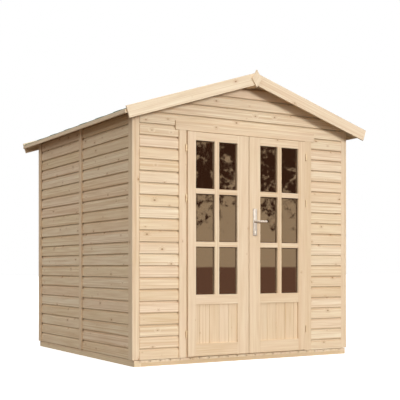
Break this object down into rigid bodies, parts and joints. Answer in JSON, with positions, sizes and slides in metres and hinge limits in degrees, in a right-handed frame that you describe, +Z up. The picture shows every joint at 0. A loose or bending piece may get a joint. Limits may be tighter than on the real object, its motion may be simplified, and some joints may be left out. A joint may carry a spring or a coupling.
{
  "type": "log cabin",
  "caption": "Small garden log cabin with an apex roof, board-clad walls on a timber frame, a boarded floor and glazed double doors that swing outwards.",
  "frame": {"origin": "middle of the cabin on the ground", "axes": "+X to the right seen from the doors, +Y towards the back wall, +Z up"},
  "size_m": [2.294, 2.312, 2.3285],
  "materials": {
    "wall_boards": "planed untreated spruce boards, satin",
    "trim_boards": "planed untreated spruce trims, satin",
    "door_timber": "planed untreated spruce joinery, satin",
    "framing_timber": "sawn spruce framing, matte",
    "floor_boards": "planed spruce floor boards, matte",
    "roof_boards": "planed spruce roof boards, matte",
    "shingles": "bitumen shingles with green mineral granules, rough",
    "door_glass": "clear float glass, polished",
    "hinge_steel": "zinc plated, satin",
    "handle_steel": "satin"
  },
  "bodies": {
    "cabin": {"side_bearers": "framing_timber", "cross_bearers": "framing_timber", "floor_deck": "floor_boards", "front_wall_left": "wall_boards", "front_wall_right": "wall_boards", "front_gable": "wall_boards", "left_wall_front": "wall_boards", "left_wall_back": "wall_boards", "right_wall_front": "wall_boards", "right_wall_back": "wall_boards", "back_wall_left": "wall_boards", "back_wall_right": "wall_boards", "side_wall_studs": "framing_timber", "end_wall_studs": "framing_timber", "side_plates": "framing_timber", "end_plates": "framing_timber", "end_wall_trims": "trim_boards", "left_wall_trims": "trim_boards", "right_wall_trims": "trim_boards", "door_head_trim": "trim_boards", "door_jambs": "door_timber", "door_head": "door_timber", "door_threshold": "door_timber", "frame_hinges": "hinge_steel", "purlins": "framing_timber", "roof_deck_left": "roof_boards", "roof_deck_right": "roof_boards", "roof_cover_left": "shingles", "roof_cover_right": "shingles", "ridge_cap": "shingles", "eave_fascias": "trim_boards", "left_barge_boards": "trim_boards", "right_barge_boards": "trim_boards", "ridge_diamonds": "trim_boards"},
    "left_door": {"left_door_frame": "door_timber", "left_door_glass": "door_glass", "left_door_panel": "door_timber", "left_door_hinges": "hinge_steel"},
    "right_door": {"right_door_frame": "door_timber", "right_door_glass": "door_glass", "right_door_panel": "door_timber", "right_door_hinges": "hinge_steel", "handle_plates": "handle_steel", "lock_cylinder": "handle_steel"},
    "handle": {"door_handle": "handle_steel"}
  },
  "joints": [
    {"name": "left_door_hinge", "type": "hinge", "parent": "cabin", "child": "left_door", "pos_m": [-0.58, -1.037, 0.933], "axis": [0, 0, -1], "range_deg": [0, 115]},
    {"name": "right_door_hinge", "type": "hinge", "parent": "cabin", "child": "right_door", "pos_m": [0.58, -1.037, 0.933], "axis": [0, 0, 1], "range_deg": [0, 115]},
    {"name": "handle_turn", "type": "hinge", "parent": "right_door", "child": "handle", "pos_m": [0.0565, -1.02, 1.123], "axis": [0, 1, 0], "range_deg": [0, 40], "stiffness_Nm_per_rad": 1.2}
  ]
}
